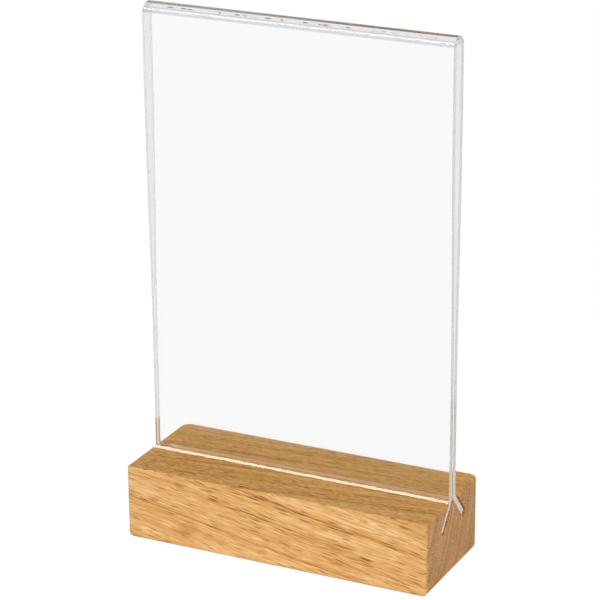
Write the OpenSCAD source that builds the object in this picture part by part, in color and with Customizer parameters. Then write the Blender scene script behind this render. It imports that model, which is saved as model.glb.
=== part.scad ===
// Table sign holder: a clear acrylic sleeve, folded from one sheet, whose two splayed legs
// sit in two slanted slots along a solid wood block. The sleeve slides out of either end.
// Origin: middle of the block's underside. X runs along the block, Y to the back, Z up.

/* [Acrylic sleeve] */
// Width of the folded sheet, which is the width of the card that it holds
sleeve_w = 105; // [70:1:320]
// Height of the fold above the block
face_h = 150; // [100:1:400]
// Thickness of the sheet
sheet_t = 2.3; // [1.5:0.1:4]
// Inside radius of the fold at the top
fold_r = 1.7; // [0.8:0.1:4]
// Inside radius of the bend at the root of each leg
bend_r = 0.5; // [0.3:0.1:3]
// Gap between the two panels where they run side by side
panel_gap = 0.5; // [0.3:0.1:0.8]

/* [Wood base] */
// How far each end of the block stands past the sleeve
end_inset = 0.5; // [0:0.5:20]
// Depth of the block, front to back
base_d = 42; // [38:1:90]
// Height of the block
base_h = 25; // [20:0.5:50]
// Rounding of the two upright edges at the back
rear_corner_r = 3.3; // [1:0.1:6]
// Rounding of the two upright edges at the front
front_corner_r = 0.7; // [0.3:0.1:3]
// Rounding of the lower edge at each end
end_foot_r = 2.2; // [0.6:0.1:5]
// Rounding of the two long lower edges
side_foot_r = 0.9; // [0.3:0.1:3]
// Rounding of the edges round the top face
top_edge_r = 0.5; // [0.2:0.1:2]

/* [Slots] */
// Lean of each slot from upright
slot_lean = 41; // [32:1:46]
// Depth of the slots below the top face
slot_depth = 9.4; // [7:0.1:12]
// Depth of the ridge between the slots below the top face
ridge_drop = 0.2; // [0:0.1:1]
// Width of the eased edge along each slot's mouth
mouth_ease = 0.4; // [0.1:0.1:1]

/* [Fit] */
// Clearance between each leg and the side of the ridge that it straddles
seat_clearance = 0.1; // [0.05:0.05:0.3]
// Clearance between each leg and the outer wall of its slot
slot_clearance = 0.3; // [0.2:0.05:0.6]
// Clearance past the end of each leg
tip_clearance = 0.55; // [0.2:0.05:1]

/* [Hidden] */
$fn = 96;
wood_colour = [0.80, 0.61, 0.37];
acrylic_colour = [0.90, 0.95, 0.96, 0.35];

// How far a cut runs past the face that it opens
overrun = 1;

base_l = sleeve_w + 2 * end_inset;

// Slots: each follows one face of the wedge that stays between them, with the ridge on top
slot_w = sheet_t + seat_clearance + slot_clearance;
ridge = [0, base_h - ridge_drop];
slot_run = (slot_depth - ridge_drop) / cos(slot_lean);
slot_down = [sin(slot_lean), -cos(slot_lean)];
slot_out = [cos(slot_lean), sin(slot_lean)];

// Bend at the root of a leg, turned by the slot's lean about a line outside the sleeve
bend_y = panel_gap / 2 + sheet_t + bend_r;
bend_reach = ridge * slot_out + seat_clearance + sheet_t + bend_r;
bend_z = (bend_reach - bend_y * cos(slot_lean)) / sin(slot_lean);
bend_centre = [bend_y, bend_z];
bend_steps = 8;
function bend_point(r, turn) = bend_centre - r * [cos(turn), sin(turn)];

// Leg: from the end of the bend to a clearance short of the end of its slot
leg_run = slot_run - tip_clearance - (bend_centre - ridge) * slot_down;

// Panels: upright from the bend to the fold, and drawn together by a soft S between two
// heights, which are shares of the panel's own height
fold_z = base_h + face_h - fold_r - sheet_t;
panel_h = fold_z - bend_z;
nip_share = 0.25;
shoulder_share = 0.85;
draw_steps = 14;
draw_shares = [for (i = [draw_steps:-1:0]) nip_share + (shoulder_share - nip_share) * i / draw_steps];

// How far the panel has opened from the narrow gap to the fold's gap, from 0 to 1
function opened(s) = let (u = (s - nip_share) / (shoulder_share - nip_share)) u * u * (3 - 2 * u);
function panel_y(s) = panel_gap / 2 + (fold_r - panel_gap / 2) * opened(s);

function reversed(points) = [for (i = [len(points) - 1:-1:0]) points[i]];

// Carries a shape drawn in the plane of an end face, Y across and Z up, along the block
module along_block(run) {
    rotate([90, 0, 90])
        translate([0, 0, -run / 2])
            children();
}

// A shape on the right or back side, and its mirror image on the other
module both_sides() {
    for (side = [0, 1])
        mirror([side, 0, 0])
            children();
}

// What a quarter round of radius r takes off a corner at the origin
module corner_waste(r) {
    difference() {
        translate([-overrun, -overrun])
            square(r + overrun);
        translate([r, r])
            circle(r);
    }
}

// The same at the four corners of an outline, with one radius for the low pair and one for the high
module outline_waste(width, height, low_r, high_r) {
    both_sides() {
        translate([-width / 2, 0])
            corner_waste(low_r);
        translate([-width / 2, height])
            mirror([0, 1, 0])
                corner_waste(high_r);
    }
}

module block() {
    difference() {
        translate([-base_l / 2, -base_d / 2, 0])
            cube([base_l, base_d, base_h]);
        translate([0, -base_d / 2, -overrun])
            linear_extrude(height = base_h + 2 * overrun)
                outline_waste(base_l, base_d, front_corner_r, rear_corner_r);
        along_block(base_l + 2 * overrun)
            linear_extrude(height = base_l + 2 * overrun)
                outline_waste(base_d, base_h, side_foot_r, top_edge_r);
        rotate([90, 0, 0])
            linear_extrude(height = base_d + 2 * overrun, center = true)
                outline_waste(base_l, base_h, end_foot_r, top_edge_r);
    }
}

// One slanted slot, open at the top and at both ends, with its mouth eased
module slot_section() {
    inner_end = ridge + slot_run * slot_down;
    outer_end = inner_end + slot_w * slot_out;
    mouth_y = outer_end[0] - (base_h - outer_end[1]) * tan(slot_lean);
    polygon([
        ridge,
        inner_end,
        outer_end,
        [mouth_y + mouth_ease * tan(slot_lean), base_h - mouth_ease],
        [mouth_y + mouth_ease, base_h],
        [mouth_y + mouth_ease, base_h + overrun],
        [0, base_h + overrun]
    ]);
}

module wood_base() {
    color(wood_colour)
        difference() {
            block();
            along_block(base_l + 2 * overrun)
                both_sides()
                    linear_extrude(height = base_l + 2 * overrun)
                        slot_section();
        }
}

// The fold at the top, which joins the two panels
module fold() {
    translate([0, fold_z])
        rotate_extrude(angle = 180)
            translate([fold_r, 0])
                square([sheet_t, sleeve_w]);
}

// One panel, the bend at its foot and its leg: down the inner face and up the outer one
module panel_section() {
    bend_turns = [for (i = [0:bend_steps]) slot_lean * i / bend_steps];
    inner = concat(
        [[fold_r, fold_z]],
        [for (s = draw_shares) [panel_y(s), bend_z + panel_h * s]],
        [for (turn = bend_turns) bend_point(bend_r + sheet_t, turn)],
        [bend_point(bend_r + sheet_t, slot_lean) + leg_run * slot_down]
    );
    outer = concat(
        [[fold_r + sheet_t, fold_z]],
        [for (s = draw_shares) [panel_y(s) + sheet_t, bend_z + panel_h * s]],
        [for (turn = bend_turns) bend_point(bend_r, turn)],
        [bend_point(bend_r, slot_lean) + leg_run * slot_down]
    );
    polygon(concat(inner, reversed(outer)));
}

module acrylic_sleeve() {
    color(acrylic_colour)
        along_block(sleeve_w) {
            fold();
            both_sides()
                linear_extrude(height = sleeve_w)
                    panel_section();
        }
}

wood_base();
acrylic_sleeve();
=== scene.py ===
import math

import bmesh
import bpy
from mathutils import Matrix, Vector


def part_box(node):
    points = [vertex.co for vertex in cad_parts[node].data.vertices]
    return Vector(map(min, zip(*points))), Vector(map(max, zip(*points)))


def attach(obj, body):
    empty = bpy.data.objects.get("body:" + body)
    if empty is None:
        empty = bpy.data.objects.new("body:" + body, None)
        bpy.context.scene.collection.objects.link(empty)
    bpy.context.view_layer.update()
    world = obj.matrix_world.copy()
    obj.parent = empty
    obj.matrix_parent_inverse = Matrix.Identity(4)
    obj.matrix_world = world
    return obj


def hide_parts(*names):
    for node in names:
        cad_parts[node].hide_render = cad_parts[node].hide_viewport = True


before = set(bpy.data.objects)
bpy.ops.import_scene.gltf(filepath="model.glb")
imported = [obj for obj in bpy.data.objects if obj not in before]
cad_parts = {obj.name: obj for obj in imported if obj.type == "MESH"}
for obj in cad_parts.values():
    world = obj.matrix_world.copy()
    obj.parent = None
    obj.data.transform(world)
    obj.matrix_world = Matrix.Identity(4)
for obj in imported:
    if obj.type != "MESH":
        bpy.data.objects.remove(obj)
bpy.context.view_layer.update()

MM = 0.001

# Points closer than the first are merged, and places closer than the second count as one
WELD = 0.001 * MM
SAME_PLACE = 0.05 * MM

# Places that come from the frame
block_low, block_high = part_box("wood_base")
sleeve_low, sleeve_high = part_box("acrylic_sleeve")
block_middle = (block_low + block_high) / 2
base_h = block_high.z
sleeve_w = sleeve_high.x - sleeve_low.x

# Wood base
REAR_CORNER_R = 3.3 * MM
REAR_CORNER_STEPS = 14
FRONT_CORNER_R = 0.7 * MM
END_FOOT_R = 2.2 * MM
SIDE_FOOT_R = 0.9 * MM
TOP_EDGE_R = 0.5 * MM
SLOT_EDGE_R = 0.15 * MM
ROUND_STEPS = 6

# Acrylic sleeve
SHEET_T = 2.3 * MM
FOLD_R = 1.7 * MM
FOLD_STEPS = 32
PANEL_GAP = 0.5 * MM
PANEL_STEPS = 60
NIP_SHARE = 0.25
SHOULDER_SHARE = 0.85
BEND_R = 0.5 * MM
BEND_STEPS = 14
POLISHED_EDGE_R = 0.12 * MM
POLISHED_EDGE_STEPS = 2

# Slots, whose run starts at the top of the ridge that stays between them
SLOT_LEAN = math.radians(41)
SLOT_DEPTH = 9.4 * MM
SLOT_MOUTH_EASE = 0.4 * MM
RIDGE_DROP = 0.2 * MM
SEAT_CLEARANCE = 0.1 * MM
SLOT_CLEARANCE = 0.3 * MM
TIP_CLEARANCE = 0.55 * MM
SLOT_W = SEAT_CLEARANCE + SHEET_T + SLOT_CLEARANCE
SLOT_RUN = (SLOT_DEPTH - RIDGE_DROP) / math.cos(SLOT_LEAN)
CUTTER_OVERRUN = 4 * MM
ridge_z = base_h - RIDGE_DROP
ridge = Vector((0, 0, ridge_z))

# Edges that turn by less than the first are shaded smooth, and the sheet's that turn by more than the
# second are polished round
CREASE = math.radians(30)
CUT_CORNER = math.radians(60)

# Grain: how far it falls along the block and how it wanders, and the year rings that it lies in
GRAIN_FALL = 17 * MM
WANDER = 3 * MM
WANDER_LENGTH = 45 * MM
RING_LEAN = math.radians(49)
RING_R = 55 * MM
RING_WIDTH = 12.3 * MM
RING_START = -25.3 * MM
LATEWOOD_SHARE = 0.09
LATEWOOD_CURVE = 2

# Figures of the wood: length along the grain, width across the rings, depth along them, and detail
BANDS = (75 * MM, 2.6 * MM, 16 * MM, 3)
FIBRES = (14 * MM, 0.6 * MM, 0.6 * MM, 2)
THREADS = (4.5 * MM, 0.28 * MM, 0.28 * MM, 1)

# The stretch of a figure's noise that shows, and what that adds to a tone from 0, dark, to 1, pale
BAND_NOISE = (0.28, 0.72)
BAND_TONE = (0.3, 0.7)
FIBRE_NOISE = (0.25, 0.75)
FIBRE_TONE = (-0.3, 0.3)
THREAD_TONE = (-0.34, 0.34)

# Pores, short and long. Their half width is a share of their spacing, in dark bands and in pale ones,
# which are dark and pale at these values of their noise
PORE_LENGTH = 8 * MM
PORE_SPACING = 0.65 * MM
PORE_REACH = (0.4, 0.2)
LINE_LENGTH = 34 * MM
LINE_SPACING = 1.5 * MM
LINE_REACH = (0.2, 0.06)
DARK_AND_PALE = (0.36, 0.64)
PORE_CORE = 0.45
PORE_DARKNESS = 0.85
PORE_DEPTH = 0.04 * MM
PORE_BUMP = 0.5

# The stretch of the fibres' noise that breaks up the year lines, and what it leaves of them
BREAK_NOISE = (0.3, 0.6)
BREAK_SHARE = (0.2, 1)

# Pin knot, whose heart is a share of its size
KNOT_PLACE = (-32 * MM, block_low.y, base_h - 19.5 * MM)
KNOT_LENGTH = 5.5 * MM
KNOT_WIDTH = 3 * MM
KNOT_HEART = 0.1
KNOT_STRENGTH = 0.7

# A side of the block starts to take the tint of its top or end, and fully has it, by how squarely it
# faces that way
SIDE_FACING = (0.5, 0.9)
END_TINT_SHARE = 0.8

# How far into the wood the painted shade of the slots' walls reaches
SLOT_SHADE_REACH = 0.1 * MM

# Oiled sheen: the stretch of the fibres' noise that varies it, and the roughness at both ends
SHEEN_NOISE = (0.3, 0.7)
SHEEN_ROUGHNESS = (0.50, 0.64)
SHEEN_SPECULAR = 0.12

# Colours of the wood: its tones from dark to pale, and the tints that are laid over them
WOOD_TONES = ("BA8342", "D9A768", "F2CB96")
PORE_BROWN = "7A4A1A"
LATEWOOD_TINT = "BE9058"
KNOT_TINT = "D8B06C"
END_TINT = "FFF8FF"
# The top's tint is painted shading for how the light falls on it
TOP_SHADING_TINT = "FFF9E2"
# The slots' walls are multiplied browner, a painted shade for the light that can't reach into them
SLOT_SHADE_TINT = "E0CCB4"

# Acrylic: its refraction, what it absorbs per metre and the tint of what is left, and how much one of
# its faces passes on to a ray that isn't bent
REFRACTION = 1.49
ABSORPTION = 1.6
SHEET_GREY = "959CAE"
UNBENT_PASS = "FBFBFB"

# Cut edges of the sheet. A face starts to count as one, and fully does, by how squarely it faces the end
EDGE_FACING = (0.6, 0.8)
EDGE_ROUGHNESS = 0.08
EDGE_HAZE = 0.5
EDGE_TINT = "F8FBFF"

# Sawn tips of the legs. A face starts to count as one, and fully does, by how squarely it faces down
TIP_FACING = (0.70, 0.73)
TIP_ROUGHNESS = 0.25
TIP_CLOUDING = 0.8
# The tips' painted tan glow, which they show when met from inside, and its colour
TIP_GLOW_STRENGTH = 0.6
TIP_GLOW_TAN = "D2A062"

# Painted marks at the fold: a grey line below it and its grey crown, which are painted shade, and dark
# specks, which are painted reflections of the wood
SHADE_LINE_DROP = 2.4 * MM
SHADE_LINE_REACH = 0.6 * MM
SHADE_LINE_CORE = 0.2 * MM
SHADED_CROWN = 0.3 * MM
SHADED_CROWN_CORE = 0.1 * MM
FOLD_SHADE_TINT = "BCC0CA"
SPECK_DROP = 0.75 * MM
SPECK_HEIGHT = 0.28 * MM
SPECKS = (1.6 * MM, 1.6 * MM, 1.6 * MM, 1)
SPECK_NOISE = (0.57, 0.62)
SPECK_REFLECTION_TINT = "544A44"

# Stage. The floor scatters light as pale paper, and where it is seen it glows white over a grey that
# takes the shadow
WHITE = (1, 1, 1, 1)
SHEET_BOUNCES = 96
FLOOR_SIDE = 6
FLOOR_WHITE = 0.95
FLOOR_PAPER = "E6E6E6"
FLOOR_SHADE = "595959"
WORLD_WHITE = 1
WORLD_FILL = 0.45
KEY_PLACE = (0.50, -1.70, 0.74)
KEY_SIZE = (0.8, 0.8)
KEY_POWER = 20.2
GLINT_PLACE = (-0.49, -0.64, 0.95)
GLINT_SIZE = (0.42, 0.08)
GLINT_ROLL = math.radians(30)
GLINT_POWER = 1.95
GLINT_COLOUR = "FFEDD2"

# How white the studio shows, as a share of plain white, to a look that passed one panel of the sheet or
# two, with two faces each, or that was mirrored once, a few times in a bend, or all along the sheet
ONE_WALL_SHARE = 0.79
TWO_WALLS_SHARE = 0.95
WALL_DEPTHS = (2, 4)
MIRRORED_SHARE = 0.86
TURNED_SHARE = 0.12
TURNED_DEPTHS = (1, 6)
GUIDED_SHARE = 1
GUIDED_DEPTHS = (9, 13)

# Camera, as fitted to the photograph
PHOTO_SIDE = 600
CAMERA_AZIMUTH = math.radians(26.064)
CAMERA_ELEVATION = math.radians(20.303)
CAMERA_ROLL = math.radians(-0.378)
CAMERA_DISTANCE = 864.4 * MM
CAMERA_PAN_RIGHT = -0.862 * MM
CAMERA_PAN_UP = 78.468 * MM
CAMERA_CLIP = 10 * MM
FOCAL_PIXELS = 2650.489
SENSOR_WIDTH = 36


def deselect_objects():
    for item in bpy.context.selected_objects:
        item.select_set(False)


def make_active(piece):
    deselect_objects()
    piece.select_set(True)
    bpy.context.view_layer.objects.active = piece


def finish_primitive(name, size):
    """Names the primitive that was just added, stretches it to its size and applies its place."""
    piece = bpy.context.object
    piece.name = name
    piece.data.name = name
    piece.scale = size
    bpy.ops.object.transform_apply(location=True, rotation=True, scale=True)
    return piece


def edit(piece):
    make_active(piece)
    bpy.ops.object.mode_set(mode="EDIT")


def leave_edit():
    bpy.ops.object.mode_set(mode="OBJECT")


def select_edges(piece, rule):
    """Selects the edges that a rule picks by their middle and their run."""
    bpy.ops.mesh.select_mode(type="EDGE")
    bpy.ops.mesh.select_all(action="DESELECT")
    mesh = bmesh.from_edit_mesh(piece.data)
    for edge in mesh.edges:
        first, last = (v.co for v in edge.verts)
        edge.select_set(rule((first + last) / 2, last - first))
    mesh.select_flush_mode()
    bmesh.update_edit_mesh(piece.data)


def select_faces(piece, rule):
    """Selects the faces that a rule picks by their middle."""
    bpy.ops.mesh.select_mode(type="FACE")
    bpy.ops.mesh.select_all(action="DESELECT")
    mesh = bmesh.from_edit_mesh(piece.data)
    for face in mesh.faces:
        face.select_set(rule(face.calc_center_median()))
    bmesh.update_edit_mesh(piece.data)


def extrude_by(step):
    bpy.ops.mesh.extrude_region_move(TRANSFORM_OT_translate={"value": step, "orient_type": "GLOBAL"})


def apply_modifier(piece, kind, **settings):
    make_active(piece)
    modifier = piece.modifiers.new(kind.lower(), kind)
    for name, value in settings.items():
        setattr(modifier, name, value)
    bpy.ops.object.modifier_apply(modifier=modifier.name)


def smooth(piece):
    """Shades the piece smooth over every edge that turns by less than a crease."""
    make_active(piece)
    bpy.ops.object.shade_smooth_by_angle(angle=CREASE)


def near(a, b, within=SAME_PLACE):
    return abs(a - b) < within


def slot_down(side):
    """The way down along the front or back slot, whose side is -1 or 1."""
    return Vector((0, side * math.sin(SLOT_LEAN), -math.cos(SLOT_LEAN)))


# Wood base

def slot_cutter(side):
    """A leaning board as thick as one slot, which runs past the block's top and ends."""
    out = Vector((0, side * math.cos(SLOT_LEAN), math.sin(SLOT_LEAN)))
    middle = ridge + slot_down(side) * (SLOT_RUN - CUTTER_OVERRUN) / 2 + out * SLOT_W / 2
    bpy.ops.mesh.primitive_cube_add(size=1, location=middle, rotation=(side * SLOT_LEAN, 0, 0))
    length = block_high.x - block_low.x + 2 * CUTTER_OVERRUN
    return finish_primitive("slot_cutter", (length, SLOT_W, SLOT_RUN + CUTTER_OVERRUN))


def edge_round(middle, run):
    """How far an edge of the block is rounded, by its place, once its rear corners are round."""
    at_end = near(abs(middle.x), block_high.x)
    at_side = near(abs(middle.y), block_high.y)
    turned_in = middle.y - (block_high.y - REAR_CORNER_R)
    at_rear_corner = turned_in > 0 and abs(middle.x) > block_high.x - REAR_CORNER_R
    if near(abs(run.z), run.length):
        return FRONT_CORNER_R if at_end and near(middle.y, block_low.y) else 0
    if near(middle.z, 0):
        if at_rear_corner:
            return END_FOOT_R + (SIDE_FOOT_R - END_FOOT_R) * turned_in / REAR_CORNER_R
        return END_FOOT_R if at_end else SIDE_FOOT_R
    if near(middle.z, base_h):
        return TOP_EDGE_R if at_end or at_side or at_rear_corner else SLOT_MOUTH_EASE
    return SLOT_EDGE_R


def make_block():
    """A board with rounded rear corners, both slots sawn into it and its edges eased."""
    deselect_objects()
    bpy.ops.mesh.primitive_cube_add(size=1, location=block_middle)
    block = finish_primitive("hardwood_block", block_high - block_low)
    edit(block)
    select_edges(
        block, lambda middle, run: near(abs(run.z), run.length) and near(middle.y, block_high.y)
    )
    bpy.ops.mesh.bevel(offset=REAR_CORNER_R, segments=REAR_CORNER_STEPS, affect="EDGES")
    leave_edit()
    for side in (-1, 1):
        cutter = slot_cutter(side)
        apply_modifier(block, "BOOLEAN", object=cutter, operation="DIFFERENCE", solver="EXACT")
        bpy.data.objects.remove(cutter)

    smooth(block)
    # The bevel's width is the widest round, and each edge weighs its own share of that
    weights = block.data.attributes.new("bevel_weight_edge", "FLOAT", "EDGE")
    for edge in block.data.edges:
        first, last = (block.data.vertices[v].co for v in edge.vertices)
        weights.data[edge.index].value = edge_round((first + last) / 2, last - first) / END_FOOT_R
    apply_modifier(
        block, "BEVEL", limit_method="WEIGHT", width=END_FOOT_R, segments=ROUND_STEPS,
        use_clamp_overlap=False, harden_normals=True, miter_outer="MITER_SHARP",
    )
    return block


# Acrylic sleeve

def bend_centre():
    """Where the line lies, outside the sleeve, that the back panel turns about to become a leg."""
    centre_y = PANEL_GAP / 2 + SHEET_T + BEND_R
    reach = ridge_z * math.sin(SLOT_LEAN) + SEAT_CLEARANCE + SHEET_T + BEND_R
    return Vector((0, centre_y, (reach - centre_y * math.cos(SLOT_LEAN)) / math.sin(SLOT_LEAN)))


def panel_y(share):
    """The inner face's distance from the middle plane, at a share of the panel's height.

    A soft S, level at both ends, leads from the narrow gap at the nip to the fold's at the shoulder.
    """
    opened = min(max((share - NIP_SHARE) / (SHOULDER_SHARE - NIP_SHARE), 0), 1)
    return PANEL_GAP / 2 + (FOLD_R - PANEL_GAP / 2) * opened ** 2 * (3 - 2 * opened)


def make_sleeve():
    """Sweeps the sheet's cut face from the middle of the fold down to one leg's tip, then mirrors it."""
    fold_z = sleeve_high.z - FOLD_R - SHEET_T
    centre = bend_centre()
    leg_run = SLOT_RUN - TIP_CLEARANCE - (centre - ridge).dot(slot_down(1))

    deselect_objects()
    bpy.ops.mesh.primitive_plane_add(
        size=1, location=(0, 0, fold_z + FOLD_R + SHEET_T / 2), rotation=(math.pi / 2, 0, 0)
    )
    sleeve = finish_primitive("clear_sleeve", (sleeve_w, SHEET_T, 1))
    edit(sleeve)
    bpy.ops.mesh.select_mode(type="FACE")
    bpy.ops.mesh.select_all(action="SELECT")
    bpy.ops.mesh.spin(steps=FOLD_STEPS, angle=math.pi / 2, center=(0, 0, fold_z), axis=(1, 0, 0))
    before = Vector((0, FOLD_R, fold_z))
    for step in range(1, PANEL_STEPS + 1):
        share = 1 - step / PANEL_STEPS
        here = Vector((0, panel_y(share), centre.z + (fold_z - centre.z) * share))
        extrude_by(here - before)
        before = here
    bpy.ops.mesh.spin(steps=BEND_STEPS, angle=SLOT_LEAN, center=centre, axis=(-1, 0, 0))
    extrude_by(slot_down(1) * leg_run)

    # The face that the sweep started from goes, so that the two halves join as one sheet
    select_faces(sleeve, lambda middle: near(middle.y, 0, WELD) and middle.z > fold_z)
    bpy.ops.mesh.delete(type="FACE")
    bpy.ops.mesh.select_all(action="SELECT")
    bpy.ops.mesh.normals_make_consistent(inside=False)
    leave_edit()
    apply_modifier(sleeve, "MIRROR", use_axis=(False, True, False), merge_threshold=WELD)
    edit(sleeve)
    bpy.ops.mesh.select_all(action="SELECT")
    bpy.ops.mesh.remove_doubles(threshold=WELD)
    bpy.ops.mesh.normals_make_consistent(inside=False)
    leave_edit()
    smooth(sleeve)
    apply_modifier(
        sleeve, "BEVEL", limit_method="ANGLE", angle_limit=CUT_CORNER, width=POLISHED_EDGE_R,
        segments=POLISHED_EDGE_STEPS, harden_normals=True,
    )
    return sleeve


# Materials

def colour(hex_code):
    """An sRGB colour, such as C89A5B, as linear values with alpha."""
    parts = [int(hex_code[i:i + 2], 16) / 255 for i in (0, 2, 4)]
    return [p / 12.92 if p <= 0.04045 else ((p + 0.055) / 1.055) ** 2.4 for p in parts] + [1]


def add_node(tree, kind, inputs=(), **settings):
    """Adds one node. Settings are its own properties, and inputs are its first ones in order, or a
    dictionary by name or number. An input is a value, a socket, or a node for its first output.

    A Map Range's first inputs are the value, its own low and high, and those that it is taken to.
    """
    new = tree.nodes.new(kind)
    for name, value in settings.items():
        setattr(new, name, value)
    given = inputs.items() if isinstance(inputs, dict) else enumerate(inputs)
    for key, value in given:
        if isinstance(value, bpy.types.Node):
            value = value.outputs[0]
        if isinstance(value, bpy.types.NodeSocket):
            tree.links.new(value, new.inputs[key])
        else:
            new.inputs[key].default_value = value
    return new


def figure(tree, grain, long, wide, deep, detail):
    """A soft mottle of 0 to 1 with spots of a real length, width and depth, and finer spots in them."""
    sized = add_node(
        tree, "ShaderNodeVectorMath", (grain, (1 / long, 1 / wide, 1 / deep)), operation="MULTIPLY"
    )
    return add_node(tree, "ShaderNodeTexNoise", {"Vector": sized, "Scale": 1, "Detail": detail})


def tinted(tree, surface, layers):
    """Lays tints over a colour, one after the other: each has a share, its own colour and a blend."""
    for share, tint, blend in layers:
        # Inputs 6 and 7 of a Mix node are its two colours, and its output 2 is the mixed one
        surface = add_node(
            tree, "ShaderNodeMix", {0: share, 6: surface, 7: colour(tint)},
            data_type="RGBA", blend_type=blend,
        ).outputs[2]
    return surface


def grain_space(tree, place):
    """Object coordinates bent so that X runs with the grain, Y across the year rings and Z along them."""
    wander = add_node(
        tree, "ShaderNodeTexNoise", {"Vector": place, "Scale": 1 / WANDER_LENGTH, "Detail": 1}
    )
    apart = add_node(tree, "ShaderNodeSeparateXYZ", (place,))
    fall = add_node(
        tree, "ShaderNodeMapRange", (apart.outputs["X"], block_low.x, block_high.x, 0, GRAIN_FALL)
    )
    lift = add_node(tree, "ShaderNodeMath", (wander, WANDER, fall), operation="MULTIPLY_ADD")
    height = add_node(tree, "ShaderNodeMath", (apart.outputs["Z"], lift), operation="ADD")
    bent = add_node(tree, "ShaderNodeCombineXYZ", (apart.outputs["X"], apart.outputs["Y"], height))
    turned = add_node(
        tree, "ShaderNodeVectorRotate", {"Vector": bent, "Angle": RING_LEAN}, rotation_type="X_AXIS"
    )
    across = add_node(tree, "ShaderNodeSeparateXYZ", (turned,))
    # A ring bows away from its middle by the square of the distance over twice its radius
    bow = add_node(tree, "ShaderNodeMath", (across.outputs["Z"], 2), operation="POWER")
    ring = add_node(
        tree, "ShaderNodeMath", (bow, 1 / (2 * RING_R), across.outputs["Y"]), operation="MULTIPLY_ADD"
    )
    return add_node(tree, "ShaderNodeCombineXYZ", (across.outputs["X"], ring, across.outputs["Z"]))


def pore_lines(tree, grain, bands, long, spacing, reach):
    """Short dark lines, 1 in a pore's middle and 0 outside it, that are thicker in the darker bands."""
    sized = add_node(
        tree, "ShaderNodeVectorMath", (grain, (1 / long, 1 / spacing, 1 / spacing)),
        operation="MULTIPLY",
    )
    cells = add_node(tree, "ShaderNodeTexVoronoi", {"Vector": sized, "Scale": 1, "Randomness": 1})
    half_width = add_node(tree, "ShaderNodeMapRange", (bands, *DARK_AND_PALE, *reach))
    inside = add_node(
        tree, "ShaderNodeMath", (cells.outputs["Distance"], half_width), operation="DIVIDE"
    )
    return add_node(tree, "ShaderNodeMapRange", (inside, PORE_CORE, 1, 1, 0))


def year_lines(tree, grain):
    """0 in the early wood of each year ring, rising over its late wood to 1 at the ring's dark end."""
    apart = add_node(tree, "ShaderNodeSeparateXYZ", (grain,))
    years = add_node(
        tree, "ShaderNodeMath", (apart.outputs["Y"], 1 / RING_WIDTH, -RING_START / RING_WIDTH),
        operation="MULTIPLY_ADD",
    )
    within = add_node(tree, "ShaderNodeMath", (years,), operation="FRACT")
    rise = add_node(tree, "ShaderNodeMapRange", (within, 1 - LATEWOOD_SHARE, 1))
    return add_node(tree, "ShaderNodeMath", (rise, LATEWOOD_CURVE), operation="POWER")


def pin_knot(tree, place):
    """Strongest in the heart of a small knot on the front face, fading to 0 round it."""
    centred = add_node(tree, "ShaderNodeVectorMath", (place, KNOT_PLACE), operation="SUBTRACT")
    sized = add_node(
        tree, "ShaderNodeVectorMath", (centred, (1 / KNOT_LENGTH, 1 / KNOT_LENGTH, 1 / KNOT_WIDTH)),
        operation="MULTIPLY",
    )
    off_centre = add_node(tree, "ShaderNodeVectorMath", (sized,), operation="LENGTH")
    return add_node(
        tree, "ShaderNodeMapRange", (off_centre.outputs["Value"], KNOT_HEART, 1, KNOT_STRENGTH, 0)
    )


def slot_shade(tree, place):
    """1 inside the slots, whose walls are painted browner as the shade that falls in them, and 0 elsewhere.
    """
    one_side = add_node(tree, "ShaderNodeVectorMath", (place,), operation="ABSOLUTE")
    upright = add_node(
        tree, "ShaderNodeVectorRotate", {"Vector": one_side, "Center": ridge, "Angle": -SLOT_LEAN},
        rotation_type="X_AXIS",
    )
    along = add_node(tree, "ShaderNodeSeparateXYZ", (upright,))
    between = add_node(
        tree, "ShaderNodeMath", (along.outputs["Y"], SLOT_W / 2, SLOT_W / 2 + SLOT_SHADE_REACH),
        operation="COMPARE",
    )
    above_end = add_node(
        tree, "ShaderNodeMath", (along.outputs["Z"], ridge_z - SLOT_RUN - SLOT_SHADE_REACH),
        operation="GREATER_THAN",
    )
    apart = add_node(tree, "ShaderNodeSeparateXYZ", (place,))
    below_mouth = add_node(
        tree, "ShaderNodeMath", (apart.outputs["Z"], base_h - SLOT_MOUTH_EASE), operation="LESS_THAN"
    )
    in_run = add_node(tree, "ShaderNodeMath", (above_end, below_mouth), operation="MULTIPLY")
    return add_node(tree, "ShaderNodeMath", (in_run, between), operation="MULTIPLY")


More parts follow.
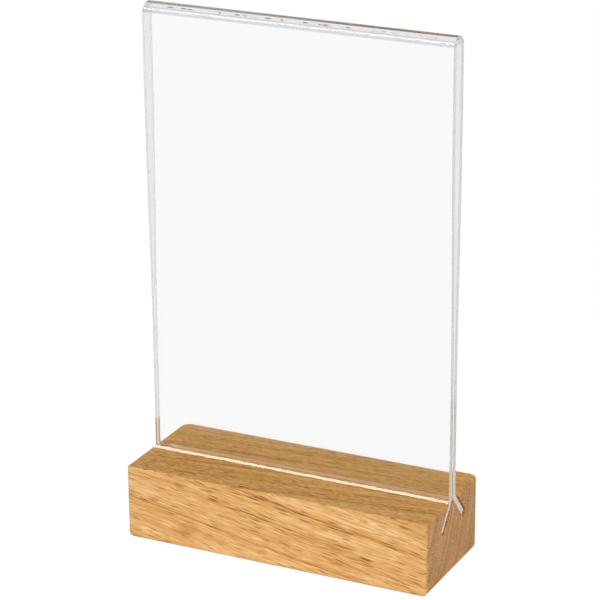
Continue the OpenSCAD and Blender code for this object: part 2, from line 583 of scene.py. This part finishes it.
def wood_material():
    """Rubberwood, planed, sanded and lightly oiled: honey bands with short dark pore lines, a low sheen."""
    wood = bpy.data.materials.new("oiled_rubberwood")
    wood.use_nodes = True
    tree = wood.node_tree
    shader = tree.nodes["Principled BSDF"]
    where = add_node(tree, "ShaderNodeTexCoord")
    place = where.outputs["Object"]
    grain = grain_space(tree, place)

    # The bands set the wood's tone, and its fibres and finer threads lift or lower that
    bands = figure(tree, grain, *BANDS)
    fibres = figure(tree, grain, *FIBRES)
    threads = figure(tree, grain, *THREADS)
    body = add_node(tree, "ShaderNodeMapRange", (bands, *BAND_NOISE, *BAND_TONE))
    streaks = add_node(tree, "ShaderNodeMapRange", (fibres, *FIBRE_NOISE, *FIBRE_TONE))
    fine = add_node(tree, "ShaderNodeMapRange", (threads, *FIBRE_NOISE, *THREAD_TONE))
    coarse = add_node(tree, "ShaderNodeMath", (body, streaks), operation="ADD")
    tone = add_node(tree, "ShaderNodeMath", (coarse, fine), operation="ADD", use_clamp=True)
    ramp = add_node(tree, "ShaderNodeValToRGB", (tone,))
    stops = ramp.color_ramp.elements
    stops.new(0.5)
    for stop, tone_colour in zip(stops, WOOD_TONES):
        stop.color = colour(tone_colour)

    # Dark pores, and year lines that the fibres break up
    short = pore_lines(tree, grain, bands, PORE_LENGTH, PORE_SPACING, PORE_REACH)
    long = pore_lines(tree, grain, bands, LINE_LENGTH, LINE_SPACING, LINE_REACH)
    pores = add_node(tree, "ShaderNodeMath", (short, long), operation="MAXIMUM")
    darkness = add_node(tree, "ShaderNodeMath", (pores, PORE_DARKNESS), operation="MULTIPLY")
    broken = add_node(tree, "ShaderNodeMapRange", (fibres, *BREAK_NOISE, *BREAK_SHARE))
    late = add_node(tree, "ShaderNodeMath", (year_lines(tree, grain), broken), operation="MULTIPLY")

    # The top is tinted yellower as painted shading for how the light falls on it, and the end grain takes
    # the oil a little pinker
    facing = add_node(tree, "ShaderNodeSeparateXYZ", (where.outputs["Normal"],))
    endwise = add_node(tree, "ShaderNodeMath", (facing.outputs["X"],), operation="ABSOLUTE")
    end_grain = add_node(tree, "ShaderNodeMapRange", (endwise, *SIDE_FACING, 0, END_TINT_SHARE))
    top = add_node(tree, "ShaderNodeMapRange", (facing.outputs["Z"], *SIDE_FACING))
    surface = tinted(tree, ramp, (
        (late, LATEWOOD_TINT, "MULTIPLY"),
        (pin_knot(tree, place), KNOT_TINT, "MULTIPLY"),
        (darkness, PORE_BROWN, "MIX"),
        (end_grain, END_TINT, "MULTIPLY"),
        # Painted shading on the top
        (top, TOP_SHADING_TINT, "MULTIPLY"),
        # Painted shade inside the slots
        (slot_shade(tree, place), SLOT_SHADE_TINT, "MULTIPLY"),
    ))
    tree.links.new(surface, shader.inputs["Base Color"])

    sheen = add_node(tree, "ShaderNodeMapRange", (fibres, *SHEEN_NOISE, *SHEEN_ROUGHNESS))
    tree.links.new(sheen.outputs[0], shader.inputs["Roughness"])
    shader.inputs["Specular IOR Level"].default_value = SHEEN_SPECULAR
    relief = add_node(tree, "ShaderNodeMath", (fibres, pores), operation="SUBTRACT")
    bump = add_node(
        tree, "ShaderNodeBump", {"Height": relief, "Strength": PORE_BUMP, "Distance": PORE_DEPTH}
    )
    tree.links.new(bump.outputs[0], shader.inputs["Normal"])
    return wood


def fold_speck_reflections(tree, place):
    """1 in small dark specks along the crown of the fold, painted reflections of the wood."""
    apart = add_node(tree, "ShaderNodeSeparateXYZ", (place,))
    on_line = add_node(
        tree, "ShaderNodeMath", (apart.outputs["Z"], sleeve_high.z - SPECK_DROP, SPECK_HEIGHT / 2),
        operation="COMPARE",
    )
    strong = add_node(tree, "ShaderNodeMapRange", (figure(tree, place, *SPECKS), *SPECK_NOISE))
    return add_node(tree, "ShaderNodeMath", (strong, on_line), operation="MULTIPLY")


def fold_painted_shade(tree, place):
    """1 on the crown and along a soft line below the fold, which are painted faintly grey as shade."""
    apart = add_node(tree, "ShaderNodeSeparateXYZ", (place,))
    off_line = add_node(
        tree, "ShaderNodeMath", (apart.outputs["Z"], sleeve_high.z - SHADE_LINE_DROP),
        operation="SUBTRACT",
    )
    distance = add_node(tree, "ShaderNodeMath", (off_line,), operation="ABSOLUTE")
    line = add_node(tree, "ShaderNodeMapRange", (distance, SHADE_LINE_CORE, SHADE_LINE_REACH, 1, 0))
    # The line marks the outer half of the sheet's thickness only
    off_middle = add_node(tree, "ShaderNodeMath", (apart.outputs["Y"],), operation="ABSOLUTE")
    outside = add_node(
        tree, "ShaderNodeMapRange", (off_middle, FOLD_R + SHEET_T / 4, FOLD_R + SHEET_T / 2)
    )
    below = add_node(tree, "ShaderNodeMath", (line, outside), operation="MULTIPLY")
    crown = add_node(
        tree, "ShaderNodeMapRange",
        (apart.outputs["Z"], sleeve_high.z - SHADED_CROWN, sleeve_high.z - SHADED_CROWN_CORE),
    )
    return add_node(tree, "ShaderNodeMath", (below, crown), operation="MAXIMUM")


def leg_tips(tree, facing, place):
    """1 on the sawn, frosted tips of the legs, from whichever side they are met, and 0 elsewhere."""
    steep = add_node(tree, "ShaderNodeMath", (facing.outputs["Z"],), operation="ABSOLUTE")
    across = add_node(tree, "ShaderNodeMapRange", (steep, *TIP_FACING))
    apart = add_node(tree, "ShaderNodeSeparateXYZ", (place,))
    sunk = add_node(tree, "ShaderNodeMath", (apart.outputs["Z"], base_h), operation="LESS_THAN")
    return add_node(tree, "ShaderNodeMath", (across, sunk), operation="MULTIPLY")


def acrylic_material():
    """Cast acrylic sheet, heat-bent: water-clear through its thickness, faintly grey along its length."""
    acrylic = bpy.data.materials.new("cast_acrylic")
    acrylic.use_nodes = True
    tree = acrylic.node_tree
    shader = tree.nodes["Principled BSDF"]
    shader.inputs["IOR"].default_value = REFRACTION
    where = add_node(tree, "ShaderNodeTexCoord")
    place = where.outputs["Object"]

    # Cut edges are faintly hazy, and the legs' sawn tips are frosted
    facing = add_node(tree, "ShaderNodeSeparateXYZ", (where.outputs["Normal"],))
    endwise = add_node(tree, "ShaderNodeMath", (facing.outputs["X"],), operation="ABSOLUTE")
    cut_edge = add_node(tree, "ShaderNodeMapRange", (endwise, *EDGE_FACING))
    tips = leg_tips(tree, facing, place)
    polished = add_node(tree, "ShaderNodeMapRange", (cut_edge, 0, 1, 0, EDGE_ROUGHNESS))
    rough = add_node(tree, "ShaderNodeMath", (tips, TIP_ROUGHNESS, polished), operation="MULTIPLY_ADD")
    tree.links.new(rough.outputs[0], shader.inputs["Roughness"])
    hazy = add_node(tree, "ShaderNodeMapRange", (cut_edge, 0, 1, 1, 1 - EDGE_HAZE))
    clouded = add_node(tree, "ShaderNodeMapRange", (tips, 0, 1, 1, 1 - TIP_CLOUDING))
    clear = add_node(tree, "ShaderNodeMath", (hazy, clouded), operation="MULTIPLY")
    tree.links.new(clear.outputs[0], shader.inputs["Transmission Weight"])
    surface = tinted(tree, WHITE, (
        (cut_edge, EDGE_TINT, "MIX"),
        # The fold's grey crown and the line below it are painted shade
        (fold_painted_shade(tree, place), FOLD_SHADE_TINT, "MIX"),
        # The fold's dark specks are painted reflections of the wood
        (fold_speck_reflections(tree, place), SPECK_REFLECTION_TINT, "MIX"),
    ))
    tree.links.new(surface, shader.inputs["Base Color"])

    # Met from inside, the tips have a tan light of their own, which stands for the light that the legs
    # carry down and the wood sends back. They aren't sampled as a lamp
    side = add_node(tree, "ShaderNodeNewGeometry")
    inner_tips = add_node(
        tree, "ShaderNodeMath", (tips, side.outputs["Backfacing"]), operation="MULTIPLY"
    )
    light = add_node(tree, "ShaderNodeMapRange", (inner_tips, 0, 1, 0, TIP_GLOW_STRENGTH))
    tree.links.new(light.outputs[0], shader.inputs["Emission Strength"])
    shader.inputs["Emission Color"].default_value = colour(TIP_GLOW_TAN)
    acrylic.cycles.emission_sampling = "NONE"

    # A ray that looks for a lamp, or that something scattered, goes straight through and isn't bent
    path = add_node(tree, "ShaderNodeLightPath")
    straight = add_node(
        tree, "ShaderNodeMath", (path.outputs["Is Shadow Ray"], path.outputs["Is Diffuse Ray"]),
        operation="MAXIMUM",
    )
    passing = add_node(tree, "ShaderNodeBsdfTransparent", {"Color": colour(UNBENT_PASS)})
    mix = add_node(tree, "ShaderNodeMixShader", (straight, shader, passing))
    body = add_node(
        tree, "ShaderNodeVolumeAbsorption", {"Color": colour(SHEET_GREY), "Density": ABSORPTION}
    )
    tree.links.new(mix.outputs[0], tree.nodes["Material Output"].inputs["Surface"])
    tree.links.new(body.outputs[0], tree.nodes["Material Output"].inputs["Volume"])
    return acrylic


# Stage

def shown_white(tree, white):
    """Whether a ray shows the background, and how white, by the way that it took through the sheet."""
    path = add_node(tree, "ShaderNodeLightPath")
    seen = add_node(
        tree, "ShaderNodeMath", (path.outputs["Is Camera Ray"], path.outputs["Is Glossy Ray"]),
        operation="MAXIMUM",
    )
    shows = add_node(
        tree, "ShaderNodeMath", (seen, path.outputs["Is Transmission Ray"]), operation="MAXIMUM"
    )
    walls = add_node(
        tree, "ShaderNodeMapRange",
        (path.outputs["Transmission Depth"], *WALL_DEPTHS, white * ONE_WALL_SHARE, white * TWO_WALLS_SHARE),
    )
    # Inputs 2 and 3 of a Mix node are its two plain values
    passed = add_node(tree, "ShaderNodeMix", {0: path.outputs["Is Camera Ray"], 2: walls, 3: white})
    mirrors = path.outputs["Glossy Depth"]
    turned = add_node(
        tree, "ShaderNodeMapRange", (mirrors, *TURNED_DEPTHS, white * MIRRORED_SHARE, white * TURNED_SHARE)
    )
    guided = add_node(tree, "ShaderNodeMapRange", (mirrors, *GUIDED_DEPTHS, turned, white * GUIDED_SHARE))
    # A look that was never mirrored shows the white by its walls, and any other one by its mirrors
    return shows, add_node(tree, "ShaderNodeMapRange", (mirrors, 0, 1, passed, guided))


def make_floor():
    """White paper, which glows where it is seen so that it stays white, and shows a faint shadow."""
    deselect_objects()
    bpy.ops.mesh.primitive_plane_add(size=1)
    floor = finish_primitive("floor", (FLOOR_SIDE, FLOOR_SIDE, 1))
    paper = bpy.data.materials.new("white_paper")
    paper.use_nodes = True
    tree = paper.node_tree
    tree.nodes.remove(tree.nodes["Principled BSDF"])
    shows, white = shown_white(tree, FLOOR_WHITE)
    plain = add_node(tree, "ShaderNodeBsdfDiffuse", {"Color": colour(FLOOR_PAPER)})
    faint = add_node(tree, "ShaderNodeBsdfDiffuse", {"Color": colour(FLOOR_SHADE)})
    glow = add_node(tree, "ShaderNodeEmission", {"Color": WHITE, "Strength": white})
    shown = add_node(tree, "ShaderNodeAddShader", (faint, glow))
    mix = add_node(tree, "ShaderNodeMixShader", (shows, plain, shown))
    tree.links.new(mix.outputs[0], tree.nodes["Material Output"].inputs["Surface"])
    floor.data.materials.append(paper)


def make_world():
    """A white studio where it is seen, and a soft fill for everything that it lights."""
    world = bpy.data.worlds.new("studio")
    bpy.context.scene.world = world
    world.use_nodes = True
    tree = world.node_tree
    shows, white = shown_white(tree, WORLD_WHITE)
    fill = tree.nodes["Background"]
    fill.inputs["Color"].default_value = WHITE
    fill.inputs["Strength"].default_value = WORLD_FILL
    backdrop = add_node(tree, "ShaderNodeBackground", {"Color": WHITE, "Strength": white})
    mix = add_node(tree, "ShaderNodeMixShader", (shows, fill, backdrop))
    tree.links.new(mix.outputs[0], tree.nodes["World Output"].inputs["Surface"])


def add_lamp(name, place, size, power, roll=0, tint="FFFFFF"):
    """A soft rectangular lamp that faces the block, turned about that line by roll."""
    lamp = bpy.data.lights.new(name, "AREA")
    lamp.color = colour(tint)[:3]
    lamp.shape = "RECTANGLE"
    lamp.size = size[0]
    lamp.size_y = size[1]
    lamp.energy = power
    holder = bpy.data.objects.new(name, lamp)
    # The sheet shows the lamps by its reflections only
    holder.visible_transmission = False
    holder.location = place
    facing = (Vector((0, 0, base_h)) - Vector(place)).to_track_quat("-Z", "Y").to_matrix()
    holder.rotation_euler = (facing @ Matrix.Rotation(roll, 3, "Z")).to_euler()
    bpy.context.scene.collection.objects.link(holder)


def let_light_run():
    """Lets light run far along inside the sheet, which is what brightens its edges, fold and legs."""
    settings = bpy.context.scene.cycles
    settings.max_bounces = SHEET_BOUNCES
    settings.glossy_bounces = SHEET_BOUNCES
    settings.transmission_bounces = SHEET_BOUNCES


def make_camera():
    lens = bpy.data.cameras.new("photo_camera")
    lens.sensor_width = SENSOR_WIDTH
    lens.lens = FOCAL_PIXELS / PHOTO_SIDE * SENSOR_WIDTH
    lens.clip_start = CAMERA_CLIP
    camera = bpy.data.objects.new("photo_camera", lens)
    turn = Matrix.Rotation(CAMERA_AZIMUTH, 4, "Z") @ Matrix.Rotation(math.pi / 2 - CAMERA_ELEVATION, 4, "X")
    turn = turn @ Matrix.Rotation(CAMERA_ROLL, 4, "Z")
    place = turn @ Vector((CAMERA_PAN_RIGHT, CAMERA_PAN_UP, CAMERA_DISTANCE))
    camera.matrix_world = Matrix.Translation(place) @ turn
    bpy.context.scene.collection.objects.link(camera)
    bpy.context.scene.camera = camera


make_camera()

block = make_block()
block.data.materials.append(wood_material())
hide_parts("wood_base")
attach(block, "base")

sleeve = make_sleeve()
sleeve.data.materials.append(acrylic_material())
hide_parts("acrylic_sleeve")
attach(sleeve, "sleeve")

make_floor()
make_world()
add_lamp("key", KEY_PLACE, KEY_SIZE, KEY_POWER)
add_lamp("glint", GLINT_PLACE, GLINT_SIZE, GLINT_POWER, GLINT_ROLL, GLINT_COLOUR)
let_light_run()
bpy.context.scene.view_settings.view_transform = "Standard"
